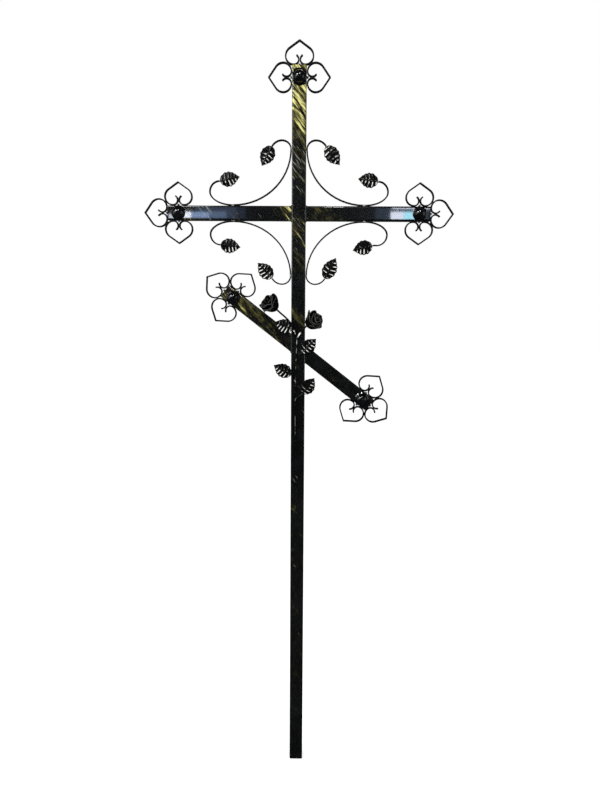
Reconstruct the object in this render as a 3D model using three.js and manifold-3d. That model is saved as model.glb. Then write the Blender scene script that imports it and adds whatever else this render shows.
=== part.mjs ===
// A grave cross welded from square steel tube, dressed with hearts, scrolls and leaves.
// Millimetres, +Z up. The front faces -Y, and the viewer's right is +X.
// The origin is the middle of the underside of the post, where the cross is set in the ground.

import * as THREE from 'three';
import { mergeVertices } from 'three/addons/utils/BufferGeometryUtils.js';
import Module from 'manifold-3d';

const wasm = await Module();
wasm.setup();

// Tube: one stock for the post, the crossbar and the slanted footrest. The crossbar is set
// down from the post's top, and the footrest down from the crossbar, middle to middle.
const TUBE_WIDTH = 40;
const TUBE_DEPTH = 40;
const TUBE_WALL = 2;
const TUBE_CORNER = 4;
const POST_LENGTH = 2090;
const FOOT_PLATE_THICKNESS = 4;
const CROSSBAR_DROP = 392;
const CROSSBAR_REACH = 370;
const FOOTREST_DROP = 382;
const FOOTREST_REACH = 268;
const FOOTREST_SLOPE = 38;

// Flat strip, bent on edge into the hearts and the scrolls, and set back from the tube's front.
const STRIP_THICKNESS = 4;
const STRIP_DEPTH = 12;
const STRIP_SETBACK = 4;

// Pieces that touch or are welded stand this far apart.
const WELD_GAP = 0.3;

// Heart: a pointed arch of strip whose two ends curl in, meet and part again as a fork.
const HEART_WIDTH = 80;
const HEART_CORNER_RADIUS = 22;
const HEART_SHOULDER_RADIUS = 25;
const HEART_POINT_SLOPE = 35;
const HEART_CURL_RADIUS = 13;
const HEART_FORK_TURN = 60;

// Dome: a pressed hemisphere with a thin rim, on the front of each tube end.
const DOME_RADIUS = 17.5;
const DOME_RIM_RADIUS = 20.5;
const DOME_RIM_THICKNESS = 1.5;
const DOME_WALL = 1.5;

// Scroll: touches the crossbar and the post, and curls back at both ends.
// Reach runs along the bar, rise runs along the post, and both are of the strip's middle line.
const SCROLL_BAR_CONTACT = 185;
const SCROLL_POST_CONTACT = 174;
const BAR_CURL_REACH = 65;
const BAR_CURL_RISE = 36;
const BAR_CURL_BACK_REACH = 28;
const BAR_CURL_BACK_RISE = 29;
const POST_CURL_REACH = 25;
const POST_CURL_RISE = 23;
const POST_CURL_BACK_REACH = 33;
const POST_CURL_BACK_RISE = 34;
const POST_CURL_BACK_TURN = 58;

// Leaves: pressed sheet with a midrib and slanting side veins.
const SCROLL_LEAF_LENGTH = 56;
const SCROLL_LEAF_WIDTH = 40;
const SCROLL_LEAF_FORWARD = 3;
const ROSE_LEAF_WIDTH = 40;
const LEAF_SHEET = 2;
const LEAF_BASE_WIDTH = 6;
const LEAF_TIP_WIDTH = 2.4;
const LEAF_VEIN_PAIRS = 6;
const LEAF_VEIN_RELIEF = 1.1;
const LEAF_CAMBER = 2.5;

// Rose sprig: lies on the post's front, with its fork just above the footrest.
// Heights are measured up from the middle of the footrest, and sides from the post's middle.
const STEM_RADIUS = 2.5;
const STALK_RADIUS = 1.6;
const STEM_SIDE = -7;
const STEM_LOWER_END = -272;
const FORK_SIDE = -3;
const FORK_RISE = 31;
const ROSE_RADIUS = 24.5;
const ROSE_LENGTH = 48;
const ROSE_TILT = 34;
const ROSE_SIDES = 16;
const ROSE_PETALS = 3;

// How finely round shapes are stepped, in degrees or in sides.
const ARC_STEP = 25;
const BELLY_STEP = 11;
const TUBE_CORNER_STEPS = 4;
const STEM_SIDES = 6;
const DOME_SIDES = 14;

const crossbarHeight = POST_LENGTH - CROSSBAR_DROP;
const footrestHeight = crossbarHeight - FOOTREST_DROP;
const frontOfTube = -TUBE_DEPTH / 2;
const rad = THREE.MathUtils.degToRad;

const paint = { color: 0x0b0b0c, roughness: 0.25, metalness: 0.6 };
const finishes = {
  tube: { ...paint, color: 0x1c1b12 },
  strip: paint,
  dome: { ...paint, color: 0x050506, roughness: 0.08 },
  leaf: { ...paint, color: 0x15160f, roughness: 0.35 },
  rose: { ...paint, color: 0x0a0a0a, roughness: 0.35 },
};

const cross = new THREE.Group();

function addPiece(parent, name, geometry, finish) {
  const piece = new THREE.Mesh(geometry, new THREE.MeshStandardMaterial(finishes[finish]));
  piece.name = name;
  parent.add(piece);
  return piece;
}

function bareGeometry(geometry) {
  geometry.deleteAttribute('normal');
  geometry.deleteAttribute('uv');
  return mergeVertices(geometry);
}

function toManifold(geometry) {
  const merged = bareGeometry(geometry);
  const mesh = new wasm.Mesh({
    numProp: 3,
    vertProperties: new Float32Array(merged.attributes.position.array),
    triVerts: new Uint32Array(merged.index.array),
  });
  return new wasm.Manifold(mesh);
}

function toGeometry(manifold) {
  const mesh = manifold.getMesh();
  const geometry = new THREE.BufferGeometry();
  geometry.setAttribute('position', new THREE.BufferAttribute(mesh.vertProperties, 3));
  geometry.setIndex(new THREE.BufferAttribute(mesh.triVerts, 1));
  geometry.computeVertexNormals();
  return geometry;
}

// Tubes

function tubeSection(inset) {
  const x = TUBE_WIDTH / 2 - inset;
  const y = TUBE_DEPTH / 2 - inset;
  const radius = Math.max(TUBE_CORNER - inset, TUBE_WALL / 4);
  const section = new THREE.Shape();
  section.absarc(x - radius, y - radius, radius, 0, rad(90));
  section.absarc(radius - x, y - radius, radius, rad(90), rad(180));
  section.absarc(radius - x, radius - y, radius, rad(180), rad(270));
  section.absarc(x - radius, radius - y, radius, rad(270), rad(360));
  return section;
}

function tubeLength(section, from, to) {
  const geometry = new THREE.ExtrudeGeometry(section, {
    depth: to - from,
    bevelEnabled: false,
    curveSegments: TUBE_CORNER_STEPS / 2,
  });
  return geometry.translate(0, 0, from);
}

// A tube along +Z, open at its start and closed at its far end by a plate ground flush.
function closedTube(from, to) {
  const outside = toManifold(tubeLength(tubeSection(0), from, to));
  const bore = toManifold(tubeLength(tubeSection(TUBE_WALL), from - TUBE_WALL, to - TUBE_WALL));
  return outside.subtract(bore);
}

function postTube() {
  return toGeometry(closedTube(FOOT_PLATE_THICKNESS + WELD_GAP, POST_LENGTH));
}

// A bar's tube is cut along the post's side, so a sloping bar gets a slanting end.
function barTube(reach, turn) {
  const width = TUBE_WIDTH + 2 * WELD_GAP;
  const postSpace = new THREE.BoxGeometry(width, 2 * TUBE_DEPTH, 8 * TUBE_WIDTH).rotateY(-turn);
  return toGeometry(closedTube(0, reach).subtract(toManifold(postSpace)));
}

function footPlate() {
  return tubeLength(tubeSection(0), 0, FOOT_PLATE_THICKNESS);
}

// Bent strip

function arcPoints(centre, radii, fromTurn, toTurn, step = ARC_STEP) {
  const clockwise = toTurn < fromTurn;
  const curve = new THREE.EllipseCurve(
    centre.x, centre.y, radii.x, radii.y, rad(fromTurn), rad(toTurn), clockwise,
  );
  return curve.getPoints(Math.ceil(Math.abs(toTurn - fromTurn) / step));
}

function joinRuns(...runs) {
  const points = [];
  for (const point of runs.flat()) {
    const last = points[points.length - 1];
    if (!last || last.distanceTo(point) > WELD_GAP) points.push(point);
  }
  return points;
}

// The strip's outline: its middle line moved half a thickness to each side, with mitred corners.
function stripOutline(middle) {
  const left = [];
  const right = [];
  middle.forEach((point, i) => {
    const before = middle[i - 1] ?? point.clone().multiplyScalar(2).sub(middle[i + 1]);
    const after = middle[i + 1] ?? point.clone().multiplyScalar(2).sub(middle[i - 1]);
    const arriving = point.clone().sub(before).normalize();
    const leaving = after.clone().sub(point).normalize();
    const arrivingSide = new THREE.Vector2(-arriving.y, arriving.x);
    const leavingSide = new THREE.Vector2(-leaving.y, leaving.x);
    const side = arrivingSide.clone().add(leavingSide).normalize();
    const mitre = STRIP_THICKNESS / 2 / side.dot(arrivingSide);
    left.push(point.clone().addScaledVector(side, mitre));
    right.unshift(point.clone().addScaledVector(side, -mitre));
  });
  return new THREE.Shape([...left, ...right]);
}

const stripMiddle = frontOfTube + STRIP_SETBACK + STRIP_DEPTH / 2;

// Drawn in x and z, and as deep in y as the strip is wide.
function bentStrip(middle) {
  const geometry = new THREE.ExtrudeGeometry(stripOutline(middle), {
    depth: STRIP_DEPTH,
    bevelEnabled: false,
  });
  return geometry.rotateX(rad(90)).translate(0, stripMiddle + STRIP_DEPTH / 2, 0);
}

const stripSeat = WELD_GAP + STRIP_THICKNESS / 2;

// Half a heart from its fork to its point, standing on x with its axis on x = 0.
function halfHeart() {
  const side = HEART_WIDTH / 2 - STRIP_THICKNESS / 2;
  const curlCentre = new THREE.Vector2(
    HEART_CURL_RADIUS + STRIP_THICKNESS / 2 + WELD_GAP / 2, stripSeat + HEART_CURL_RADIUS,
  );
  const cornerCentre = new THREE.Vector2(side - HEART_CORNER_RADIUS, stripSeat + HEART_CORNER_RADIUS);
  const shoulderCentre = new THREE.Vector2(side - HEART_SHOULDER_RADIUS, cornerCentre.y);
  const round = (radius) => new THREE.Vector2(radius, radius);
  const shoulder = arcPoints(
    shoulderCentre, round(HEART_SHOULDER_RADIUS), 0, 90 - HEART_POINT_SLOPE,
  );
  const shoulderEnd = shoulder[shoulder.length - 1];
  const point = new THREE.Vector2(0, shoulderEnd.y + shoulderEnd.x * Math.tan(rad(HEART_POINT_SLOPE)));
  return joinRuns(
    arcPoints(curlCentre, round(HEART_CURL_RADIUS), 180 - HEART_FORK_TURN, 270),
    arcPoints(cornerCentre, round(HEART_CORNER_RADIUS), 270, 360),
    shoulder,
    [point],
  );
}

function heartStrip() {
  const right = halfHeart();
  const left = right.slice(0, -1).reverse().map((point) => new THREE.Vector2(-point.x, point.y));
  return bentStrip([...right, ...left]);
}

// Distance back from a tube's end to the axis of the two side hearts: their corners
// touch the corners of the heart on the end.
function sideHeartInset() {
  const cornerOfEndHeart = HEART_WIDTH / 2 - STRIP_THICKNESS / 2 - HEART_CORNER_RADIUS;
  const cornerOfSideHeart = TUBE_WIDTH / 2 + stripSeat + HEART_CORNER_RADIUS;
  const across = cornerOfSideHeart - cornerOfEndHeart;
  const apart = 2 * HEART_CORNER_RADIUS + STRIP_THICKNESS + WELD_GAP;
  const along = Math.sqrt(Math.max(apart ** 2 - across ** 2, 0));
  return along - stripSeat - HEART_CORNER_RADIUS + cornerOfEndHeart;
}

// Domes

function domeShell() {
  const base = DOME_RIM_THICKNESS;
  const outer = new THREE.EllipseCurve(0, base, DOME_RADIUS, DOME_RADIUS, rad(90), 0, true);
  const innerRadius = DOME_RADIUS - DOME_WALL;
  const inner = new THREE.EllipseCurve(0, base, innerRadius, innerRadius, 0, rad(90));
  const profile = [
    ...outer.getPoints(4),
    new THREE.Vector2(DOME_RIM_RADIUS, base),
    new THREE.Vector2(DOME_RIM_RADIUS, 0),
    new THREE.Vector2(innerRadius, 0),
    ...inner.getPoints(3),
  ];
  profile[0].x = 0;
  profile[profile.length - 1].x = 0;
  const shell = bareGeometry(new THREE.LatheGeometry(profile.reverse(), DOME_SIDES));
  return shell.rotateX(rad(180));
}

// A finial stands at a tube's end, with +Z along the tube.
function addFinial(parent, name, sides) {
  const finial = new THREE.Group();
  parent.add(finial);
  addPiece(finial, `heart_${name}_end`, heartStrip(), 'strip');
  const inset = sideHeartInset();
  sides.forEach((sideName, i) => {
    const direction = i === 0 ? 1 : -1;
    const heart = addPiece(finial, `heart_${name}_${sideName}`, heartStrip(), 'strip');
    heart.rotation.y = direction * rad(90);
    heart.position.set(direction * TUBE_WIDTH / 2, 0, -inset);
  });
  const dome = addPiece(finial, `dome_${name}`, domeShell(), 'dome');
  dome.position.set(0, frontOfTube - WELD_GAP, -inset);
  return finial;
}

// Leaves

// How wide the leaf is at a share of its length: wide soon after the stalk, then tapering.
function leafFullness(along) {
  return Math.sin(Math.PI * along ** 0.66) ** 1.1;
}

// How far the edge runs ahead of the midrib there, as a share of the length: behind it near
// the stalk, where the lobes are, and ahead of it further on, as the veins slant.
function leafLead(along) {
  const veinLead = 0.1;
  const lobeLag = 0.09;
  return veinLead * Math.sin(Math.PI * along) - lobeLag * (1 - along) ** 4;
}

// A leaf along +Z from its stalk, facing -Y. Its rows are slanting veins, ridge and furrow in turn.
function leafSheet(length, width) {
  const rows = 2 * LEAF_VEIN_PAIRS;
  const toothDepth = 0.05;
  const sheet = bareGeometry(new THREE.BoxGeometry(2, LEAF_SHEET, 1, 2, 1, rows));
  const spots = sheet.attributes.position;
  for (let i = 0; i < spots.count; i += 1) {
    const across = spots.getX(i);
    const row = Math.round((spots.getZ(i) + 0.5) * rows);
    const along = row / rows;
    const inside = row > 0 && row < rows ? 1 : 0;
    const ridge = inside * (row % 2 ? 1 : -1);
    const least = THREE.MathUtils.lerp(LEAF_BASE_WIDTH, LEAF_TIP_WIDTH, along) / 2;
    const full = (width / 2) * leafFullness(along) * (1 + ridge * toothDepth);
    const halfWidth = inside ? Math.max(full, least) : least;
    const lead = inside * Math.abs(across) * leafLead(along);
    const relief = ridge * LEAF_VEIN_RELIEF * Math.abs(across);
    const bend = LEAF_CAMBER * (across ** 2 + along ** 2 - along);
    spots.setXYZ(i, across * halfWidth, spots.getY(i) - relief + bend, length * (along + lead));
  }
  sheet.computeVertexNormals();
  return sheet;
}

// A leaf whose base stands just past the end of the strip or stalk that carries it. Arriving
// and leaving are the turns of the carrier's end and of the leaf, from +Z towards +X.
function addLeaf(parent, { name, end, depth, carrier, arriving, leaving, length, width }) {
  const swing = THREE.MathUtils.euclideanModulo(arriving - leaving + 180, 360) - 180;
  const clearance = WELD_GAP + ((LEAF_BASE_WIDTH + carrier) / 2) * Math.abs(Math.sin(rad(swing)));
  const leaf = addPiece(parent, name, leafSheet(length, width), 'leaf');
  leaf.rotation.y = rad(leaving);
  leaf.position.set(
    end.x + clearance * Math.sin(rad(leaving)), depth, end.y + clearance * Math.cos(rad(leaving)),
  );
}

function heading(from, to) {
  return THREE.MathUtils.radToDeg(Math.atan2(to.x - from.x, to.y - from.y));
}

// Scrolls

// The middle line in the quarter above the bar and right of the post, from leaf to leaf.
// The tail is a straight length of strip between the bar's curl and its leaf.
function scrollMiddle(tail) {
  const seat = TUBE_WIDTH / 2 + stripSeat;
  const barLevel = seat + BAR_CURL_RISE;
  const barBackCentre = SCROLL_BAR_CONTACT + BAR_CURL_REACH - BAR_CURL_BACK_REACH;
  const postTop = SCROLL_POST_CONTACT + POST_CURL_RISE;
  const postCurlSide = seat + POST_CURL_REACH;
  const at = (x, z) => new THREE.Vector2(x, z);
  return joinRuns(
    [at(barBackCentre - tail, barLevel + BAR_CURL_BACK_RISE)],
    arcPoints(at(barBackCentre, barLevel), at(BAR_CURL_BACK_REACH, BAR_CURL_BACK_RISE), 90, 0),
    arcPoints(at(SCROLL_BAR_CONTACT, barLevel), at(BAR_CURL_REACH, BAR_CURL_RISE), 360, 270),
    arcPoints(
      at(SCROLL_BAR_CONTACT, SCROLL_POST_CONTACT),
      at(SCROLL_BAR_CONTACT - seat, SCROLL_POST_CONTACT - seat), 270, 180, BELLY_STEP,
    ),
    arcPoints(at(postCurlSide, SCROLL_POST_CONTACT), at(POST_CURL_REACH, POST_CURL_RISE), 180, 90),
    arcPoints(
      at(postCurlSide, postTop - POST_CURL_BACK_RISE), at(POST_CURL_BACK_REACH, POST_CURL_BACK_RISE),
      90, 90 - POST_CURL_BACK_TURN,
    ),
  );
}

// Each corner was bent by hand, so the turns of its leaves, the length of its post leaf and
// the tail at its bar leaf differ. A turn of zero points at the bar's level straight back
// along it, or straight along the post to the bar.
const corners = [
  { name: 'upper_left', x: -1, z: 1, barLeafTurn: 11, postLeafTurn: 28, postLeafLength: 59, tail: 0 },
  { name: 'upper_right', x: 1, z: 1, barLeafTurn: 7, postLeafTurn: 37, postLeafLength: 62, tail: 0 },
  { name: 'lower_left', x: -1, z: -1, barLeafTurn: 7, postLeafTurn: 43, postLeafLength: 58, tail: 0 },
  { name: 'lower_right', x: 1, z: -1, barLeafTurn: 14, postLeafTurn: 28, postLeafLength: 65, tail: 12 },
];

function addScroll(parent, corner) {
  const flip = (x, z) => new THREE.Vector2(corner.x * x, corner.z * z);
  const middle = scrollMiddle(corner.tail).map((point) => flip(point.x, point.y));
  const last = middle.length - 1;
  const [barTurn, postTurn] = [rad(corner.barLeafTurn), rad(corner.postLeafTurn)];
  const origin = new THREE.Vector2();
  const leaf = {
    depth: stripMiddle - SCROLL_LEAF_FORWARD,
    carrier: STRIP_THICKNESS,
    width: SCROLL_LEAF_WIDTH,
  };
  addPiece(parent, `scroll_${corner.name}`, bentStrip(middle), 'strip');
  addLeaf(parent, {
    ...leaf,
    name: `leaf_${corner.name}_bar`,
    end: middle[0],
    arriving: heading(middle[1], middle[0]),
    leaving: heading(origin, flip(-Math.cos(barTurn), Math.sin(barTurn))),
    length: SCROLL_LEAF_LENGTH,
  });
  addLeaf(parent, {
    ...leaf,
    name: `leaf_${corner.name}_post`,
    end: middle[last],
    arriving: heading(middle[last - 1], middle[last]),
    leaving: heading(origin, flip(Math.sin(postTurn), -Math.cos(postTurn))),
    length: corner.postLeafLength,
  });
}

// Rose sprig

const stemDepth = frontOfTube - WELD_GAP - STEM_RADIUS;

// Where a leaf's stalk leaves the stem, where the stalk ends, where the leaf points, how far
// in front of the stem it stands, and how long it is.
const sprigLeaves = [
  { name: 'rose_leaf_upper_left', from: [-12, 52], base: [-16, 56], turn: -65, lift: 10, length: 52 },
  { name: 'rose_leaf_upper_right', from: [-5, -24], base: [11, -11], turn: 45, lift: 3, length: 57 },
  { name: 'rose_leaf_middle_left', from: [-7, -96], base: [-18, -77], turn: -60, lift: 3, length: 57 },
  { name: 'rose_leaf_lower_right', from: [-7, -145], base: [14, -131], turn: 36, lift: 3, length: 56 },
];

// Where a branch bends on its way from the fork, where it ends at the flower, where the flower
// points, and how far in front of the stem the flower's neck stands.
const roses = [
  { name: 'rose_left', bends: [[-12, 55], [-20, 73]], neck: [-60, 112], turn: -46, lift: 4 },
  { name: 'rose_right', bends: [[6, 46]], neck: [24, 67], turn: 50, lift: 6 },
];

function sprigPoint([side, rise], depth) {
  return new THREE.Vector3(side, depth, rise);
}

function rod(points, radius, steps) {
  const section = new THREE.Shape().absarc(0, 0, radius, 0, rad(360));
  return toManifold(new THREE.ExtrudeGeometry(section, {
    curveSegments: STEM_SIDES / 2,
    steps,
    extrudePath: new THREE.CatmullRomCurve3(points),
  }));
}

function roseStem() {
  const stem = rod([
    sprigPoint([STEM_SIDE, STEM_LOWER_END], stemDepth),
    sprigPoint([STEM_SIDE, STEM_LOWER_END / 3], stemDepth),
    sprigPoint([FORK_SIDE, FORK_RISE], stemDepth),
  ], STEM_RADIUS, 5);
  const branches = roses.map((rose) => {
    const start = sprigPoint([FORK_SIDE, FORK_RISE - STEM_RADIUS], stemDepth);
    const bends = rose.bends.map((bend, i) => {
      const share = ((i + 1) / (rose.bends.length + 1)) ** 2;
      return sprigPoint(bend, stemDepth - share * rose.lift);
    });
    const end = sprigPoint(rose.neck, stemDepth - rose.lift);
    return rod([start, ...bends, end], STEM_RADIUS, 2 + 2 * rose.bends.length);
  });
  const stalks = sprigLeaves.map((leaf) => {
    const from = sprigPoint(leaf.from, stemDepth);
    const base = sprigPoint(leaf.base, stemDepth - leaf.lift);
    const knee = from.clone().lerp(base, 0.4).setY(base.y);
    return rod([from, knee, base], STALK_RADIUS, 3);
  });
  return toGeometry([...branches, ...stalks].reduce((sum, piece) => sum.add(piece), stem));
}

// A rose along +Y: nested cups of petals round a closed heart. Each profile spot gives a share
// of the radius, a share of the length, and how strongly the petals wave there.
function roseBody() {
  const spots = [
    [0, 0, 0], [0.2, 0, 0], [0.62, 0.12, 0.02], [0.92, 0.4, 0.04], [0.95, 0.72, 0.08],
    [1, 0.86, 0.12], [0.86, 0.84, 0.1], [0.72, 0.7, 0.08], [0.7, 0.92, 0.1], [0.58, 0.92, 0.1],
    [0.48, 0.74, 0.08], [0.42, 0.97, 0.08], [0.3, 0.97, 0.06], [0.2, 0.84, 0], [0, 0.96, 0],
  ];
  const profile = spots.map(([radius, rise]) => new THREE.Vector2(radius * ROSE_RADIUS, rise * ROSE_LENGTH));
  const body = new THREE.LatheGeometry(profile, ROSE_SIDES);
  const places = body.attributes.position;
  for (let i = 0; i < places.count; i += 1) {
    const ring = i % spots.length;
    const turn = (2 * Math.PI * Math.floor(i / spots.length)) / ROSE_SIDES;
    const wave = spots[ring][2] * Math.cos(ROSE_PETALS * turn + ring / 2);
    const [x, y, z] = [places.getX(i), places.getY(i), places.getZ(i)];
    places.setXYZ(i, x * (1 + wave), y + wave * ROSE_RADIUS / 2, z * (1 + wave));
  }
  const merged = bareGeometry(body);
  merged.computeVertexNormals();
  return merged;
}

function addRose(parent, rose) {
  const inPlane = Math.cos(rad(ROSE_TILT));
  const direction = new THREE.Vector3(
    inPlane * Math.sin(rad(rose.turn)), -Math.sin(rad(ROSE_TILT)), inPlane * Math.cos(rad(rose.turn)),
  );
  const flower = addPiece(parent, rose.name, roseBody(), 'rose');
  flower.quaternion.setFromUnitVectors(new THREE.Vector3(0, 1, 0), direction);
  const neck = sprigPoint(rose.neck, stemDepth - rose.lift);
  flower.position.copy(neck.addScaledVector(direction, WELD_GAP + STEM_RADIUS));
}

function addSprig(parent) {
  const sprig = new THREE.Group();
  sprig.position.z = footrestHeight;
  parent.add(sprig);
  addPiece(sprig, 'rose_stem', roseStem(), 'leaf');
  roses.forEach((rose) => addRose(sprig, rose));
  sprigLeaves.forEach((leaf) => {
    const from = new THREE.Vector2(...leaf.from);
    const base = new THREE.Vector2(...leaf.base);
    addLeaf(sprig, {
      name: leaf.name,
      end: base,
      depth: stemDepth - leaf.lift,
      carrier: 2 * STALK_RADIUS,
      arriving: heading(from, base),
      leaving: leaf.turn,
      length: leaf.length,
      width: ROSE_LEAF_WIDTH,
    });
  });
}

// The whole cross

const crossbar = { height: crossbarHeight, reach: CROSSBAR_REACH };
const footrest = { height: footrestHeight, reach: FOOTREST_REACH };
const leftSides = ['upper', 'lower'];
const rightSides = ['lower', 'upper'];
const bars = [
  { ...crossbar, name: 'crossbar_left', finial: 'left', turn: -90, sides: leftSides },
  { ...crossbar, name: 'crossbar_right', finial: 'right', turn: 90, sides: rightSides },
  {
    ...footrest, name: 'footrest_left', finial: 'footrest_left',
    turn: FOOTREST_SLOPE - 90, sides: leftSides,
  },
  {
    ...footrest, name: 'footrest_right', finial: 'footrest_right',
    turn: FOOTREST_SLOPE + 90, sides: rightSides,
  },
];

addPiece(cross, 'foot_plate', footPlate(), 'tube');
addPiece(cross, 'post', postTube(), 'tube');
addFinial(cross, 'top', ['right', 'left']).position.z = POST_LENGTH;

for (const bar of bars) {
  const arm = new THREE.Group();
  arm.position.z = bar.height;
  arm.rotation.y = rad(bar.turn);
  cross.add(arm);
  addPiece(arm, bar.name, barTube(bar.reach, rad(bar.turn)), 'tube');
  addFinial(arm, bar.finial, bar.sides).position.z = bar.reach;
}

const scrolls = new THREE.Group();
scrolls.position.z = crossbarHeight;
cross.add(scrolls);
corners.forEach((corner) => addScroll(scrolls, corner));

addSprig(cross);

export default cross;
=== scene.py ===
# %% [markdown]
# # A welded grave cross with hearts, scrolls and a rose
#
# The real cross is made from square steel tube, flat strip and pressed sheet, welded
# together, enamelled black and brushed with pale gold by hand. We start from the packed
# model of its solids, the frame. Every piece below is made in the frame's own place and
# size, and then stands for the plain solid it was made for.

# %% Load the frame and keep its box
from math import atan2, cos, degrees, dist, exp, pi, radians, sin, sqrt, tan

import bmesh
import bpy
from mathutils import Matrix, Quaternion, Vector, noise


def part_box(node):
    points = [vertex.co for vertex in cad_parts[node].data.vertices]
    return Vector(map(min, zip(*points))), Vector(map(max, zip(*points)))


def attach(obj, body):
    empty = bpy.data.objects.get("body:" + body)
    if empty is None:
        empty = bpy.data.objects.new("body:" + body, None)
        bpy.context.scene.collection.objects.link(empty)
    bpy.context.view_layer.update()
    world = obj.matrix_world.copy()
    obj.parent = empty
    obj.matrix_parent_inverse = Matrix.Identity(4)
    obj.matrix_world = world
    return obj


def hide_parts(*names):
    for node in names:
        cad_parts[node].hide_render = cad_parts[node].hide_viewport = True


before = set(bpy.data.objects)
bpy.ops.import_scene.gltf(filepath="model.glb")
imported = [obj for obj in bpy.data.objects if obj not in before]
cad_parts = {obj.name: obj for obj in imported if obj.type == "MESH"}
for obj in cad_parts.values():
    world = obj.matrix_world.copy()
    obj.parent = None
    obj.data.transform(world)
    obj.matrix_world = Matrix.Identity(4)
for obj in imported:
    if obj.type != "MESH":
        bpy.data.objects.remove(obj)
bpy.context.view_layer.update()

# %% [markdown]
# ## Sizes
#
# Blender works in metres and a smith in millimetres, so lengths are written times MM. What
# the frame already knows is read from the boxes of its nodes: the tube's width, the level of
# the crossbar, and how far each bar reaches.

# %% Read the tubes' sizes from the frame
MM = 0.001
post_low, post_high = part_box("post")
bar_low, bar_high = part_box("crossbar_left")
rest_left_low, rest_left_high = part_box("footrest_left")
rest_right_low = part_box("footrest_right")[0]

tube = post_high.x - post_low.x
half_tube = tube / 2
tube_front = post_low.y
post_top = post_high.z
bar_level = (bar_low.z + bar_high.z) / 2
bar_reach = -bar_low.x
REST_SLOPE = 38
QUARTER = radians(90)
rest_slope = radians(REST_SLOPE)
rest_level = (rest_left_high.z + rest_right_low.z) / 2
rest_reach = (-rest_left_low.x - half_tube * sin(rest_slope)) / cos(rest_slope)
print("bar level", round(bar_level, 4), "reach", round(bar_reach, 4))
print("footrest level", round(rest_level, 4), "reach", round(rest_reach, 4))

# %% Sizes of the strip
STRIP_THICKNESS = 4 * MM
STRIP_DEPTH = 12 * MM
STRIP_SETBACK = 4 * MM
WELD_GAP = 0.3 * MM
strip_seat = WELD_GAP + STRIP_THICKNESS / 2
strip_front = tube_front + STRIP_SETBACK
strip_middle = strip_front + STRIP_DEPTH / 2
print("strip front", round(strip_front, 4), "middle", round(strip_middle, 4))

# %% [markdown]
# ## Small helpers
#
# Most pieces start as a bmesh, Blender's editable mesh. A finished bmesh becomes an object
# that sits at the origin, with its place in its vertices, as the frame's own nodes do. Edges
# sharper than an angle stay crisp and all others are shaded smooth.

# %% Turn a bmesh into a piece
SMOOTH_ANGLE = radians(38)


def finish_mesh(mesh):
    for face in mesh.polygons:
        face.use_smooth = True
    mesh.set_sharp_from_angle(angle=SMOOTH_ANGLE)


def make_object(name, bm):
    mesh = bpy.data.meshes.new(name)
    bm.to_mesh(mesh)
    bm.free()
    made = bpy.data.objects.new(name, mesh)
    bpy.context.scene.collection.objects.link(made)
    return made


def settle(piece):
    """Applies the piece's modifiers, so that its mesh is what is seen."""
    graph = bpy.context.evaluated_depsgraph_get()
    mesh = bpy.data.meshes.new_from_object(piece.evaluated_get(graph))
    piece.modifiers.clear()
    piece.data = mesh
    finish_mesh(mesh)
    return piece


def declare(piece, material, slot, *nodes):
    """Gives the piece its finish, hangs it under the root and hides the solids it stands for."""
    piece.data.materials.clear()
    piece.data.materials.append(material)
    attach(piece, "root")
    if nodes:
        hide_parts(*nodes)
    return piece


def plain_piece(name, bm, material, slot, *nodes):
    """A finished piece from a bmesh that needs no modifiers."""
    piece = make_object(name, bm)
    finish_mesh(piece.data)
    return declare(piece, material, slot, *nodes)


print("edges stay crisp above", round(degrees(SMOOTH_ANGLE)), "degrees")

# %% Thicken and round a ribbon or a sheet
ROUNDED_ANGLE = radians(50)


def add_thickness(piece, thickness):
    solidify = piece.modifiers.new("thickness", "SOLIDIFY")
    solidify.thickness = thickness
    solidify.offset = 0
    solidify.use_even_offset = True


def add_rounding(piece, width, segments=3):
    rounding = piece.modifiers.new("rounding", "BEVEL")
    rounding.width = width
    rounding.segments = segments
    rounding.limit_method = "ANGLE"
    rounding.angle_limit = ROUNDED_ANGLE


print("edges are rounded above", round(degrees(ROUNDED_ANGLE)), "degrees")

# %% [markdown]
# ## Finishes
#
# A material is a small network of nodes. These helpers add a node, and set its plain values
# and link its sockets in one go, which keeps the recipes below short.

# %% Start a material
def feed(node, inputs):
    """Fills a node's inputs: a socket is linked and a plain value is set."""
    for key, value in inputs.items():
        if isinstance(value, bpy.types.NodeSocket):
            node.id_data.links.new(value, node.inputs[key])
        else:
            node.inputs[key].default_value = value


def add_node(tree, kind, inputs, **settings):
    made = tree.nodes.new(kind)
    for key, value in settings.items():
        setattr(made, key, value)
    feed(made, inputs)
    return made


def start_material(name):
    material = bpy.data.materials.new(name)
    material.use_nodes = True
    tree = material.node_tree
    shader = tree.nodes["Principled BSDF"]
    place = add_node(tree, "ShaderNodeTexCoord", {}).outputs["Object"]
    return material, tree, shader, place


def value_of(tree, operation, first, second):
    return add_node(tree, "ShaderNodeMath", {0: first, 1: second}, operation=operation).outputs[0]


def mix_colours(tree, share, first, second):
    mix = add_node(tree, "ShaderNodeMix", {0: share, 6: first, 7: second}, data_type="RGBA")
    return mix.outputs[2]


def spread(tree, value, low, high, to_low=0.0, to_high=1.0):
    limits = {"From Min": low, "From Max": high, "To Min": to_low, "To Max": to_high}
    return add_node(tree, "ShaderNodeMapRange", {"Value": value, **limits}).outputs["Result"]


print("materials before the first recipe:", len(bpy.data.materials))

# %% Patterns and bumps
def blots_of(tree, place, scale, detail):
    """Even noise, with scale blots per metre."""
    inputs = {"Vector": place, "Scale": scale, "Detail": detail}
    return add_node(tree, "ShaderNodeTexNoise", inputs).outputs[0]


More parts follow.
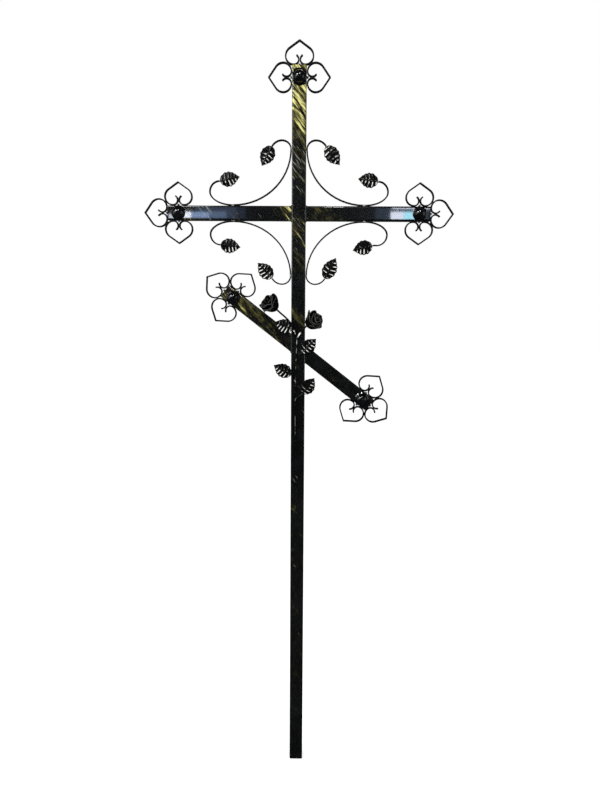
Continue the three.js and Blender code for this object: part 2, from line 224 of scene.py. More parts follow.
def weighted(tree, values, weights):
    """Adds values, each times its weight."""
    total = None
    for value, weight in zip(values, weights):
        part = value_of(tree, "MULTIPLY", value, weight)
        total = part if total is None else value_of(tree, "ADD", total, part)
    return total


def ramp(tree, value, stops):
    """A ColorRamp of grey levels or colours at places from 0 to 1."""
    made = add_node(tree, "ShaderNodeValToRGB", {"Fac": value})
    while len(made.color_ramp.elements) < len(stops):
        made.color_ramp.elements.new(0.5)
    for element, (place, colour) in zip(made.color_ramp.elements, stops):
        element.position = place
        element.color = colour if isinstance(colour, tuple) else (colour, colour, colour, 1)
    return made.outputs["Color"]


def bump(tree, shader, height, strength, distance):
    inputs = {"Height": height, "Strength": strength, "Distance": distance}
    feed(shader, {"Normal": add_node(tree, "ShaderNodeBump", inputs).outputs["Normal"]})


print("a noise of scale 1000 has a blot every", MM, "m")

# %% [markdown]
# ### Black enamel
#
# Sprayed enamel on steel is a black ground under a clear, hard gloss. The Principled shader's
# coat is just that: a second, sharper reflection over the first. The enamel isn't flat: it
# has a faint orange peel, made here by a fine noise that only bumps the surface.

# %% Enamel for the strip and the domes
ENAMEL_BLACK = (0.0015, 0.0015, 0.0018, 1)
ENAMEL_GREY = (0.004, 0.0045, 0.0055, 1)
COAT_ROUGHNESS = 0.035
ENAMEL_SPECULAR = 0.3
ENAMEL_CLOUDS = (24, 5)
ORANGE_PEEL = (420, 3)
PEEL_DEPTH = 0.3 * MM
CLOUDS_ROUGHER = 0.1


def black_enamel(name, roughness, coat, peel):
    material, tree, shader, place = start_material(name)
    patchy = spread(tree, blots_of(tree, place, *ENAMEL_CLOUDS), 0.42, 0.68)
    feed(shader, {
        "Base Color": mix_colours(tree, patchy, ENAMEL_BLACK, ENAMEL_GREY),
        "Roughness": spread(tree, patchy, 0, 1, roughness, roughness + CLOUDS_ROUGHER),
        "Coat Weight": coat,
        "Coat Roughness": COAT_ROUGHNESS,
        "Specular IOR Level": ENAMEL_SPECULAR,
    })
    bump(tree, shader, blots_of(tree, place, *ORANGE_PEEL), peel, PEEL_DEPTH)
    return material


strip_enamel = black_enamel("strip_enamel", roughness=0.30, coat=0.15, peel=0.12)
dome_enamel = black_enamel("dome_enamel", roughness=0.12, coat=1.0, peel=0.01)
print("enamels:", strip_enamel.name, dome_enamel.name)

# %% [markdown]
# ### Gold brushed over enamel
#
# The patina is pale gold wax dragged over the black with a dry brush, always slanting down to
# the right. A brush leaves long thin lines, so the pattern is a noise that is stretched along
# the stroke and squeezed across it. How much gold there is at each place is a second, slow
# value, the gold's cover: nearly all of it at the top of the post, where the bright gold is
# partly a painted highlight, and hardly any low down. Adding x to y makes the strokes run on
# round the tube's corners.

# %% Brush strokes
STROKE_SLOPE = 52
OLIVE = (0.012, 0.0105, 0.003, 1)
MOSS = (0.100, 0.090, 0.024, 1)
BROWN_GOLD = (0.030, 0.026, 0.008, 1)
OLD_GOLD = (0.125, 0.112, 0.028, 1)
BRIGHT_GOLD = (0.340, 0.320, 0.095, 1)
PALE_GOLD = (0.800, 0.760, 0.290, 1)
HAIR_SILVER = (0.250, 0.270, 0.215, 1)
SPECKLE_GREY = (0.030, 0.034, 0.026, 1)
GOLD_TONES = [(0.0, BROWN_GOLD), (0.35, OLD_GOLD), (0.62, BRIGHT_GOLD), (0.95, PALE_GOLD)]

# Blots per metre along and across the stroke, a shift of the pattern, and its waviness.
BROAD_STROKES = (11, 62, 3.1, 0.6)
FINE_STROKES = (22, 210, 7.7, 0.25)
BRISTLE_LINES = (30, 620, 1.9, 0.25)
STRAY_HAIRS = (17, 240, 12.3, 0.1)


def stroke_place(tree, place):
    """The place on the tube, unrolled and turned so that the strokes run along x."""
    parts = add_node(tree, "ShaderNodeSeparateXYZ", {0: place}).outputs
    round_the_tube = value_of(tree, "ADD", parts["X"], parts["Y"])
    flat = add_node(tree, "ShaderNodeCombineXYZ", {"X": round_the_tube, "Z": parts["Z"]})
    turn = {"Vector": flat.outputs[0], "Rotation": (0, -radians(STROKE_SLOPE), 0)}
    return add_node(tree, "ShaderNodeMapping", turn).outputs[0]


def strokes_of(tree, unrolled, along, across, shift, waviness):
    """Noise whose blots are long down the stroke and thin across it."""
    stretch = {"Vector": unrolled, "Scale": (along, 1, across), "Location": (shift, 0, 0)}
    stretched = add_node(tree, "ShaderNodeMapping", stretch).outputs[0]
    return add_node(tree, "ShaderNodeTexNoise", {
        "Vector": stretched, "Scale": 1, "Detail": 4, "Roughness": 0.6, "Distortion": waviness,
    }).outputs[0]


print("strokes slant", STROKE_SLOPE, "degrees, in", len(GOLD_TONES), "tones of gold")

# %% [markdown]
# The domes were welded on and blackened before the gold went on, so a ragged black ring is
# left round each of them but the one at the footrest's upper end, where the gold runs on. Part
# of the ring's darkness is painted shadow: the shade that each dome casts on the tube round
# it. The ring is found by the distance from the dome's middle, with a little noise added to
# make its edge uneven.

# %% The black paint and painted shadow round a dome
PAINT_AND_SHADOW_RING_INSIDE = 21.5 * MM
PAINT_AND_SHADOW_RING_OUTSIDE = 24.5 * MM
PAINT_AND_SHADOW_RING_UNEVEN = 9 * MM
PAINT_AND_SHADOW_RING_BLOTS = (210, 3)


def paint_and_shadow_ring_round_domes(tree, place, domes):
    """1 close to a dome, in its black paint and painted shadow, and 0 away from it."""
    ragged = blots_of(tree, place, *PAINT_AND_SHADOW_RING_BLOTS)
    shift = PAINT_AND_SHADOW_RING_UNEVEN / 2
    ring = None
    for node in domes:
        low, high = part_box(node)
        middle = ((low.x + high.x) / 2, tube_front, (low.z + high.z) / 2)
        away = add_node(tree, "ShaderNodeVectorMath", {0: place, 1: middle}, operation="DISTANCE")
        edge = weighted(tree, (away.outputs["Value"], ragged), (1.0, PAINT_AND_SHADOW_RING_UNEVEN))
        near = spread(tree, edge, PAINT_AND_SHADOW_RING_INSIDE + shift, PAINT_AND_SHADOW_RING_OUTSIDE + shift, 1.0, 0.0)
        ring = near if ring is None else value_of(tree, "MAXIMUM", ring, near)
    return ring


print("rings fade from", PAINT_AND_SHADOW_RING_INSIDE, "to", PAINT_AND_SHADOW_RING_OUTSIDE)

# %% [markdown]
# Gold, haze and hairlines all work alike: a noise shows where it is above a threshold, and
# the threshold falls as the amount grows. Wax is duller than enamel and a little metallic, so
# it also takes away some of the coat.

# %% Thresholds and amounts
GOLD_THRESHOLD = (0.72, 0.40)
HAZE_THRESHOLD = (0.66, 0.41)
HAIR_THRESHOLD = (0.74, 0.52)


def above(tree, pattern, amount, threshold):
    """How far the pattern is above its threshold, which falls as the amount goes to 1."""
    return value_of(tree, "SUBTRACT", pattern, spread(tree, amount, 0, 1, *threshold))


def amounts_along(tree, along_tube, stops, clear):
    """Gold, haze and hairlines at each place, and none where it isn't clear of a dome."""
    for kind in (1, 2, 3):
        amount = ramp(tree, along_tube, [(stop[0], stop[kind]) for stop in stops])
        yield value_of(tree, "MULTIPLY", amount, clear)


print("thresholds of gold, haze and hairlines:", GOLD_THRESHOLD, HAZE_THRESHOLD, HAIR_THRESHOLD)

# %% The brushed tube
GOLD_MIX = (0.66, 0.26, 0.08)
HAZE_MIX = (0.5, 0.2, 0.3)
MOTTLE = (75, 5)
TUBE_CLOUDS = (30, 6)
SPECKLES = (300, 3)
WAX_METALLIC = 0.3
ROUGHNESS_TO_WAX = (0.24, 0.50)
COAT_TO_WAX = (1.0, 0.35)
BRUSH_BUMP = 0.12
BRUSH_DEPTH = 0.15 * MM


def brushed_tube(name, way, low, high, stops, domes):
    """Enamelled tube with gold strokes. The stops are read along the way from low to high."""
    material, tree, shader, place = start_material(name)
    slanted = add_node(tree, "ShaderNodeVectorMath", {0: place, 1: way}, operation="DOT_PRODUCT")
    along_tube = spread(tree, slanted.outputs["Value"], low, high)
    # Round the domes the gold and haze are left out: black paint, and a painted shadow of the dome.
    clear = value_of(tree, "SUBTRACT", 1.0, paint_and_shadow_ring_round_domes(tree, place, domes))
    gold_cover_and_highlight, haziness, hairiness = amounts_along(tree, along_tube, stops, clear)

    unrolled = stroke_place(tree, place)
    broad, fine, bristle, stray = (
        strokes_of(tree, unrolled, *kind)
        for kind in (BROAD_STROKES, FINE_STROKES, BRISTLE_LINES, STRAY_HAIRS)
    )
    mottle, clouds, grains = (
        blots_of(tree, place, *kind) for kind in (MOTTLE, TUBE_CLOUDS, SPECKLES)
    )
    level = weighted(tree, (broad, fine, bristle), GOLD_MIX)
    level = above(tree, level, gold_cover_and_highlight, GOLD_THRESHOLD)
    haze_level = weighted(tree, (broad, fine, mottle), HAZE_MIX)
    haze_level = above(tree, haze_level, haziness, HAZE_THRESHOLD)

    # From the ground up: enamel, grey speckle, olive haze, gold and silver hairlines.
    patchy = spread(tree, clouds, 0.45, 0.70)
    colour = mix_colours(tree, patchy, ENAMEL_BLACK, ENAMEL_GREY)
    grainy, hazy = spread(tree, grains, 0.55, 0.68), spread(tree, haziness, 0.1, 0.5)
    colour = mix_colours(tree, value_of(tree, "MULTIPLY", grainy, hazy), colour, SPECKLE_GREY)
    haze, streaky = spread(tree, haze_level, -0.02, 0.14), spread(tree, fine, 0.40, 0.50, 0.35, 1.0)
    thick, striped = spread(tree, haze_level, 0.02, 0.15), spread(tree, fine, 0.42, 0.66)
    olive = mix_colours(tree, weighted(tree, (thick, striped), (0.7, 0.5)), OLIVE, MOSS)
    colour = mix_colours(tree, value_of(tree, "MULTIPLY", haze, streaky), colour, olive)
    full, lined = spread(tree, level, 0.0, 0.10), spread(tree, fine, 0.35, 0.65)
    gold_colour = ramp(tree, weighted(tree, (full, lined), (0.8, 0.3)), GOLD_TONES)
    gold = spread(tree, level, 0.0, 0.04)
    colour = mix_colours(tree, gold, colour, gold_colour)
    hairline = spread(tree, above(tree, stray, hairiness, HAIR_THRESHOLD), 0.0, 0.05)

    wax_and_highlight = value_of(tree, "MAXIMUM", gold, hairline)
    feed(shader, {
        "Base Color": mix_colours(tree, hairline, colour, HAIR_SILVER),
        "Metallic": value_of(tree, "MULTIPLY", wax_and_highlight, WAX_METALLIC),
        "Roughness": spread(tree, wax_and_highlight, 0, 1, *ROUGHNESS_TO_WAX),
        "Coat Weight": spread(tree, wax_and_highlight, 0, 1, *COAT_TO_WAX),
        "Coat Roughness": COAT_ROUGHNESS,
        "Specular IOR Level": ENAMEL_SPECULAR,
    })
    bump(tree, shader, weighted(tree, (level, bristle), (1.0, 0.5)), BRUSH_BUMP, BRUSH_DEPTH)
    return material


print("gold follows the broad strokes, the fine ones and the bristles by", GOLD_MIX)

# %% [markdown]
# Each tube has its own list of stops: a share of the way along it, then how much gold, olive
# haze and hairlines there are. The shares run from the ground up on the post, and from left
# to right on the bars. The way is slanted so that the gold begins and ends along a stroke and
# not straight across the tube.

# %% Where the gold lies
# On the post the gold grows towards the top: it is patina, and at the top it is partly a painted
# highlight.
post_stops = [
    (0.0, 0.02, 0.18, 0.10), (0.14, 0.02, 0.37, 0.20), (0.33, 0.02, 0.35, 0.25),
    (0.41, 0.05, 0.48, 0.35), (0.46, 0.02, 0.16, 0.28), (0.54, 0.02, 0.18, 0.28),
    (0.61, 0.05, 0.34, 0.35), (0.655, 0.06, 0.28, 0.25), (0.672, 0.56, 1.00, 0.25),
    (0.69, 0.15, 0.30, 0.25), (0.73, 0.28, 0.50, 0.35), (0.765, 0.42, 0.68, 0.50),
    (0.80, 0.52, 0.68, 0.60), (0.815, 0.20, 0.40, 0.55), (0.83, 0.14, 0.30, 0.50),
    (0.855, 0.30, 0.55, 0.75), (0.885, 0.42, 0.72, 0.75), (0.905, 0.50, 0.85, 0.60),
    (0.918, 0.60, 0.95, 0.45), (0.935, 0.80, 1.00, 0.30), (0.975, 0.88, 1.00, 0.20),
    (0.99, 0.66, 1.00, 0.30), (1.0, 0.75, 1.00, 0.20),
]
bar_stops = [
    (0.0, 0.35, 0.50, 0.20), (0.06, 0.66, 0.80, 0.40), (0.10, 0.55, 0.70, 0.70),
    (0.14, 0.30, 0.40, 0.85), (0.20, 0.18, 0.30, 0.50), (0.36, 0.12, 0.30, 0.20),
    (0.42, 0.22, 0.45, 0.30), (0.45, 0.64, 0.95, 0.50), (0.49, 0.60, 0.95, 0.60),
    (0.53, 0.36, 0.75, 0.45), (0.62, 0.36, 0.70, 0.45), (0.68, 0.15, 0.30, 0.20),
    (0.85, 0.05, 0.15, 0.10),
]
rest_stops = [
    (0.0, 0.60, 0.95, 0.20), (0.14, 0.62, 0.95, 0.25), (0.20, 0.42, 0.85, 0.30),
    (0.36, 0.28, 0.75, 0.25), (0.44, 0.12, 0.40, 0.12), (0.60, 0.04, 0.27, 0.15),
    (0.75, 0.05, 0.35, 0.20), (1.0, 0.04, 0.20, 0.15),
]
rest_half_span = -rest_left_low.x
steepness = tan(radians(STROKE_SLOPE))
bar_middle = bar_level / steepness
post_finish = brushed_tube(
    "post_finish", (steepness, 0, 1), 0, post_top, post_stops, ["dome_top"],
)
bar_finish = brushed_tube(
    "crossbar_finish", (1, 0, 1 / steepness), bar_middle - bar_reach, bar_middle + bar_reach,
    bar_stops, ["dome_left", "dome_right"],
)
rest_finish = brushed_tube(
    "footrest_finish", (1, 0, 0), -rest_half_span, rest_half_span,
    rest_stops, ["dome_footrest_right"],
)
print("brushed finishes:", post_finish.name, bar_finish.name, rest_finish.name)

# %% [markdown]
# ### Leaves with rubbed wax and painted highlights, and bare welds
#
# On the leaves the wax was rubbed on with a cloth, so it caught only what stands proud: the
# ribs. Their silver is also a painted highlight, where the crests would catch the light. The
# leaf's mesh stores how proud each spot is in an attribute called rib, and the material reads
# it. A weld is bare, melted steel that shines through thin paint.

# %% Leaf, rose and weld finishes
LEAF_BLACK = (0.002, 0.002, 0.002, 1)
SILVER_WAX_AND_HIGHLIGHT = (0.95, 0.96, 0.90, 1)
BARE_STEEL = (0.7, 0.72, 0.72, 1)
WAX_AND_HIGHLIGHT_BLOTS = (48, 5)
LEAF_GRIT = (700, 3)
LEAF_COAT = 0.1
LEAF_SPECULAR = 0.12
WELD_BLOTS = (260, 4)


def rubbed_and_highlit_leaf(name, strength):
    material, tree, shader, place = start_material(name)
    rib = add_node(tree, "ShaderNodeAttribute", {}, attribute_name="rib").outputs["Fac"]
    patchy = spread(tree, blots_of(tree, place, *WAX_AND_HIGHLIGHT_BLOTS), 0.36, 0.55, 0.25, 1.0)
    # The rib silver is partly rubbed wax and partly a painted highlight on the crests.
    wax_and_highlight = spread(tree, value_of(tree, "MULTIPLY", rib, patchy), 0.28, 0.58, 0.0, strength)
    feed(shader, {
        "Base Color": mix_colours(tree, wax_and_highlight, LEAF_BLACK, SILVER_WAX_AND_HIGHLIGHT),
        "Metallic": value_of(tree, "MULTIPLY", wax_and_highlight, 0.2),
        "Roughness": spread(tree, wax_and_highlight, 0, 1, 0.34, 0.45),
        "Coat Weight": LEAF_COAT,
        "Coat Roughness": COAT_ROUGHNESS,
        "Specular IOR Level": LEAF_SPECULAR,
    })
    bump(tree, shader, blots_of(tree, place, *LEAF_GRIT), 0.2, 0.3 * MM)
    return material


def weld_metal(name, shine):
    material, tree, shader, place = start_material(name)
    blots = blots_of(tree, place, *WELD_BLOTS)
    bare = spread(tree, blots, 0.4, 0.6, 0.0, shine)
    feed(shader, {
        "Base Color": mix_colours(tree, bare, ENAMEL_GREY, BARE_STEEL),
        "Metallic": value_of(tree, "MULTIPLY", bare, 0.8),
        "Roughness": 0.35,
    })
    bump(tree, shader, blots, 0.3, 0.4 * MM)
    return material


leaf_finish = rubbed_and_highlit_leaf("leaf_finish", 1.0)
rose_finish = rubbed_and_highlit_leaf("rose_finish", 0.08)
bare_weld = weld_metal("bare_weld", 0.95)
painted_weld = weld_metal("painted_weld", 0.12)
print("rubbed and welded finishes:", leaf_finish.name, rose_finish.name, bare_weld.name)

# %% [markdown]
# ## Tubes
#
# Square tube is rolled from sheet, so its long edges are round and its faces are flat. A cube
# stretched to the tube's size gets its long edges bevelled. Each flat face then gets a narrow
# inset: without it, smooth shading would bend the light across the whole face. A bar is
# longer than it needs to be, turned to its slope, and cut along the side of the post.

# %% Shape a tube
TUBE_CORNER = 4 * MM
END_ROUNDING = 0.8 * MM
SHADING_MARGIN = 0.7 * MM


def round_edges(bm, edges, width, segments):
    bmesh.ops.bevel(
        bm, geom=edges, offset=width, segments=segments, profile=0.5, affect="EDGES", material=-1,
    )


def tube_bmesh(start, end):
    """Square tube standing on z, from start to end, with its outer end finely rounded."""
    bm = bmesh.new()
    bmesh.ops.create_cube(bm, size=1)
    bmesh.ops.scale(bm, vec=(tube, tube, end - start), verts=bm.verts)
    bmesh.ops.translate(bm, vec=(0, 0, (start + end) / 2), verts=bm.verts)
    long_edges = [e for e in bm.edges if abs(e.verts[0].co.z - e.verts[1].co.z) > tube]
    round_edges(bm, long_edges, TUBE_CORNER, 8)
    rim = [e for e in bm.edges if min(e.verts[0].co.z, e.verts[1].co.z) > end - MM]
    round_edges(bm, rim, END_ROUNDING, 3)
    flats = [f for f in bm.faces if f.calc_area() > tube * tube / 2]
    bmesh.ops.inset_individual(bm, faces=flats, thickness=SHADING_MARGIN)
    return bm


def bar_bmesh(reach, turn, level):
    """A bar from the post outwards: turn is 90 degrees to the right and -90 to the left."""
    bm = tube_bmesh(-tube, reach)
    bmesh.ops.rotate(bm, matrix=Matrix.Rotation(turn, 3, "Y"), verts=bm.verts)
    side = 1 if turn > 0 else -1
    everything = bm.verts[:] + bm.edges[:] + bm.faces[:]
    cut = bmesh.ops.bisect_plane(
        bm, geom=everything, plane_co=(side * (half_tube + WELD_GAP), 0, 0), plane_no=(-side, 0, 0),
        clear_outer=True,
    )
    rim = [e for e in cut["geom_cut"] if isinstance(e, bmesh.types.BMEdge)]
    bmesh.ops.holes_fill(bm, edges=rim)
    bmesh.ops.translate(bm, vec=(0, 0, level), verts=bm.verts)
    return bm


print("a tube's corners are rounded by", TUBE_CORNER)

# %% Make the tubes
BARS = {
    "crossbar_left": (bar_reach, -QUARTER, bar_level),
    "crossbar_right": (bar_reach, QUARTER, bar_level),
    "footrest_left": (rest_reach, rest_slope - QUARTER, rest_level),
    "footrest_right": (rest_reach, rest_slope + QUARTER, rest_level),
}
post_tube = tube_bmesh(post_low.z, post_top)
plain_piece("post_tube", post_tube, post_finish, "tube_paint", "post")
for node, bar in BARS.items():
    finish = bar_finish if node.startswith("crossbar") else rest_finish
    plain_piece(node + "_tube", bar_bmesh(*bar), finish, "tube_paint", node)
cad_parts["foot_plate"].data.materials.clear()
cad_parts["foot_plate"].data.materials.append(post_finish)
print("tubes made:", 1 + len(BARS))

# %% [markdown]
# ## Bent strip
#
# Hearts and scrolls are one kind of work: flat strip bent on its edge round a former. In
# Blender one vertex is spun round each former's centre, and every step leaves an edge. That
# line is pulled into a ribbon, given the strip's thickness, and its edges are rounded. A
# scroll's curves are ellipses, so each run is spun as a circle and then squeezed.

# %% Bend a line and make strip from it
ARC_STEP = 6
STRIP_ROUNDING = 1.1 * MM
MERGE_WITHIN = 0.05 * MM


def add_arc(bm, centre, radii, start, end):
    """Spins a vertex about the centre from one turn to another, in degrees from x to z."""
    wide, high = radii
    before = len(bm.verts)
    turn = radians(start)
    first = bm.verts.new((centre[0] + wide * cos(turn), 0, centre[1] + wide * sin(turn)))
    steps = max(3, round(abs(end - start) / ARC_STEP))
    bmesh.ops.spin(
        bm, geom=[first], cent=(centre[0], 0, centre[1]), axis=(0, -1, 0),
        angle=radians(end - start), steps=steps,
    )
    run = bm.verts[:][before:]
    space = Matrix.Translation((-centre[0], 0, -centre[1]))
    bmesh.ops.scale(bm, vec=(1, 1, high / wide), space=space, verts=run)
    return run


def join_runs(bm, *runs):
    """Ties each run of vertices to the next one with an edge."""
    for run, following in zip(runs, runs[1:]):
        bm.edges.new((run[-1], following[0]))
    bmesh.ops.remove_doubles(bm, verts=bm.verts, dist=MERGE_WITHIN)


def strip_piece(name, bm, matrix):
    """Pulls the line into a ribbon, thickens and rounds it, and puts it in place."""
    pulled = bmesh.ops.extrude_edge_only(bm, edges=bm.edges[:])
    moved = [v for v in pulled["geom"] if isinstance(v, bmesh.types.BMVert)]
    bmesh.ops.translate(bm, vec=(0, STRIP_DEPTH, 0), verts=moved)
    bmesh.ops.translate(bm, vec=(0, strip_front, 0), verts=bm.verts)
    bmesh.ops.transform(bm, matrix=matrix, verts=bm.verts)
    bmesh.ops.recalc_face_normals(bm, faces=bm.faces)
    piece = make_object(name, bm)
    add_thickness(piece, STRIP_THICKNESS)
    add_rounding(piece, STRIP_ROUNDING)
    return settle(piece)


print("strip:", STRIP_THICKNESS, "by", STRIP_DEPTH, "bent in steps of", ARC_STEP, "degrees")

# %% [markdown]
# ### Hearts
#
# Half a heart runs from the end of its curl round the corner and the shoulder to the point,
# and the other half is its mirror image. The two curls meet in the middle and part again as a
# fork. Three hearts stand on each tube end, one along the tube and one on either side, set
# back so far that their corners touch.

# %% Bend a heart
HEART_WIDTH = 80 * MM
HEART_CORNER = 22 * MM
HEART_SHOULDER = 25 * MM
HEART_CURL = 13 * MM
HEART_POINT_SLOPE = 35
HEART_FORK_TURN = 60


def heart_bmesh():
    bm = bmesh.new()
    side = HEART_WIDTH / 2 - STRIP_THICKNESS / 2
    curl_centre = (HEART_CURL + STRIP_THICKNESS / 2 + WELD_GAP / 2, strip_seat + HEART_CURL)
    corner_centre = (side - HEART_CORNER, strip_seat + HEART_CORNER)
    shoulder_centre = (side - HEART_SHOULDER, corner_centre[1])
    curl = add_arc(bm, curl_centre, (HEART_CURL, HEART_CURL), 180 - HEART_FORK_TURN, 270)
    corner = add_arc(bm, corner_centre, (HEART_CORNER, HEART_CORNER), 270, 360)
    shoulder_turn = 90 - HEART_POINT_SLOPE
    shoulder = add_arc(bm, shoulder_centre, (HEART_SHOULDER, HEART_SHOULDER), 0, shoulder_turn)
    end = shoulder[-1].co
    point = bm.verts.new((0, 0, end.z + end.x * tan(radians(HEART_POINT_SLOPE))))
    join_runs(bm, curl, corner, shoulder, [point])
    bmesh.ops.mirror(bm, geom=bm.verts[:] + bm.edges[:], axis="X", merge_dist=MERGE_WITHIN)
    return bm


def side_heart_inset():
    corner_of_end = HEART_WIDTH / 2 - STRIP_THICKNESS / 2 - HEART_CORNER
    across = half_tube + strip_seat + HEART_CORNER - corner_of_end
    apart = 2 * HEART_CORNER + STRIP_THICKNESS + WELD_GAP
    return sqrt(apart ** 2 - across ** 2) - strip_seat - HEART_CORNER + corner_of_end


inset = side_heart_inset()
print("the hearts on either side are set back by", round(inset, 4))

# %% Put three hearts on each end
def end_matrix(reach, turn, level):
    """The place of a tube's end, with z pointing out along the tube."""
    lift = Matrix.Translation((0, 0, level))
    return lift @ Matrix.Rotation(turn, 4, "Y") @ Matrix.Translation((0, 0, reach))


ENDS = {
    "top": (end_matrix(post_top, 0, 0), ("right", "left")),
    "left": (end_matrix(*BARS["crossbar_left"]), ("upper", "lower")),
    "right": (end_matrix(*BARS["crossbar_right"]), ("lower", "upper")),
    "footrest_left": (end_matrix(*BARS["footrest_left"]), ("upper", "lower")),
    "footrest_right": (end_matrix(*BARS["footrest_right"]), ("lower", "upper")),
}
for end_name, (place, side_names) in ENDS.items():
    hearts = {"end": place}
    for side_name, side in zip(side_names, (1, -1)):
        sideways = Matrix.Rotation(side * QUARTER, 4, "Y")
        hearts[side_name] = place @ Matrix.Translation((side * half_tube, 0, -inset)) @ sideways
    for heart_name, matrix in hearts.items():
        node = f"heart_{end_name}_{heart_name}"
        piece = strip_piece(node + "_strip", heart_bmesh(), matrix)
        declare(piece, strip_enamel, "strip_paint", node)
print("hearts made:", 3 * len(ENDS))

# %% [markdown]
# ## Domes
#
# A dome is a pressed half ball with a thin rim, welded over the end of each tube. Its profile
# is a quarter circle and three short edges, and one full spin round the dome's own axis makes
# the whole of it.

# %% Make the domes
DOME_RIM_THICKNESS = 1.5 * MM
DOME_TURN = 86
DOME_STEPS = 18
SPIN_STEPS = 56


def dome_bmesh(radius, rim_radius):
    bm = bmesh.new()
    apex = bm.verts.new((0, -DOME_RIM_THICKNESS - radius, 0))
    bmesh.ops.spin(
        bm, geom=[apex], cent=(0, -DOME_RIM_THICKNESS, 0), axis=(0, 0, 1),
        angle=radians(DOME_TURN), steps=DOME_STEPS,
    )
    bm.verts.ensure_lookup_table()
    last = bm.verts[-1]
    for x, y in ((rim_radius - MM, 1.0), (rim_radius, 0.6), (rim_radius, 0.0), (0, 0.0)):
        following = bm.verts.new((x, -y * DOME_RIM_THICKNESS, 0))
        bm.edges.new((last, following))
        last = following
    bmesh.ops.spin(
        bm, geom=bm.verts[:] + bm.edges[:], cent=(0, 0, 0), axis=(0, 1, 0),
        angle=radians(360), steps=SPIN_STEPS, use_merge=True,
    )
    bmesh.ops.remove_doubles(bm, verts=bm.verts, dist=0.02 * MM)
    bmesh.ops.recalc_face_normals(bm, faces=bm.faces)
    return bm


for end_name in ENDS:
    node = "dome_" + end_name
    low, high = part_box(node)
    bm = dome_bmesh(high.y - low.y - DOME_RIM_THICKNESS, (high.z - low.z) / 2)
    seat = ((low.x + high.x) / 2, high.y, (low.z + high.z) / 2)
    bmesh.ops.translate(bm, vec=seat, verts=bm.verts)
    plain_piece(node + "_cap", bm, dome_enamel, "dome_paint", node)
print("domes made:", len(ENDS))

# %% [markdown]
# ## Scrolls
#
# Each scroll lies against the bar and against the post and curls back at both ends. Its line
# is five runs: two curls, a long belly and two more. One scroll is worked out for the upper
# right corner, and turned over for the other three.

# %% Sizes of the scrolls
SCROLL_BAR_CONTACT = 185 * MM
SCROLL_POST_CONTACT = 174 * MM
BAR_CURL = (65 * MM, 36 * MM)
BAR_CURL_BACK = (28 * MM, 29 * MM)
POST_CURL = (25 * MM, 23 * MM)
POST_CURL_BACK = (33 * MM, 34 * MM)
POST_CURL_BACK_TURN = 58
scroll_seat = half_tube + strip_seat

CORNERS = {
    "upper_left": {"side": (-1, 1), "bar_turn": 11, "post_turn": 28, "post_leaf": 59, "tail": 0},
    "upper_right": {"side": (1, 1), "bar_turn": 7, "post_turn": 37, "post_leaf": 62, "tail": 0},
    "lower_left": {"side": (-1, -1), "bar_turn": 7, "post_turn": 43, "post_leaf": 58, "tail": 0},
    "lower_right": {"side": (1, -1), "bar_turn": 14, "post_turn": 28, "post_leaf": 65, "tail": 12},
}
print("scrolls touch bar and post at", SCROLL_BAR_CONTACT, SCROLL_POST_CONTACT)

# %% Make the scrolls
def scroll_bmesh(tail):
    """The line of a scroll, and its two ends with the directions in which they leave."""
    bm = bmesh.new()
    bar_curl_level = scroll_seat + BAR_CURL[1]
    back_centre = (SCROLL_BAR_CONTACT + BAR_CURL[0] - BAR_CURL_BACK[0], bar_curl_level)
    post_curl_side = scroll_seat + POST_CURL[0]
    post_curl_top = SCROLL_POST_CONTACT + POST_CURL[1]
    belly = (SCROLL_BAR_CONTACT - scroll_seat, SCROLL_POST_CONTACT - scroll_seat)
    runs = [
        add_arc(bm, back_centre, BAR_CURL_BACK, 90, 0),
        add_arc(bm, (SCROLL_BAR_CONTACT, bar_curl_level), BAR_CURL, 360, 270),
        add_arc(bm, (SCROLL_BAR_CONTACT, SCROLL_POST_CONTACT), belly, 270, 180),
        add_arc(bm, (post_curl_side, SCROLL_POST_CONTACT), POST_CURL, 180, 90),
        add_arc(
            bm, (post_curl_side, post_curl_top - POST_CURL_BACK[1]), POST_CURL_BACK,
            90, 90 - POST_CURL_BACK_TURN,
        ),
    ]
    start, end = runs[0][0], runs[-1][-1]
    bar_end = start.co - Vector((tail, 0, 0))
    if tail:
        runs.insert(0, [bm.verts.new(bar_end)])
    post_end = end.co.copy()
    post_heading = (end.co - runs[-1][-2].co).normalized()
    join_runs(bm, *runs)
    return bm, (bar_end, Vector((-1, 0, 0))), (post_end, post_heading)


def corner_matrix(side):
    return Matrix.Translation((0, 0, bar_level)) @ Matrix.Diagonal((side[0], 1, side[1], 1))


scroll_ends = {}
for corner_name, corner in CORNERS.items():
    bm, bar_tip, post_tip = scroll_bmesh(corner["tail"] * MM)
    matrix = corner_matrix(corner["side"])
    scroll_ends[corner_name] = (matrix, bar_tip, post_tip)
    node = "scroll_" + corner_name
    declare(strip_piece(node + "_strip", bm, matrix), strip_enamel, "strip_paint", node)
print("scrolls made:", len(CORNERS))

# %% [markdown]
# ## Leaves
# The leaves are pressed from thin sheet: a midrib, and side ribs that slant towards the tip,
# with a furrow between each two. A flat grid has one row of vertices for each step along the
# midrib. Moving its vertices by a short rule gives the outline, the ribs and the dish of the
# leaf at once, and the same rule fills the attribute rib, which the wax and the painted
# highlight on the ribs follow.

# %% Shape a leaf
LEAF_BASE = 6 * MM
LEAF_TIP = 2.4 * MM
LEAF_CAMBER = 2.5 * MM
LEAF_TOOTH = 0.045
RIB_PAIRS = 6
RIB_HEIGHT = 1.1 * MM
MIDRIB_WIDTH = 1.3 * MM
ROWS_PER_RIB = 10
LEAF_COLUMNS = 24
UPPER_HALF_PAINTED_SHADE = 0.55


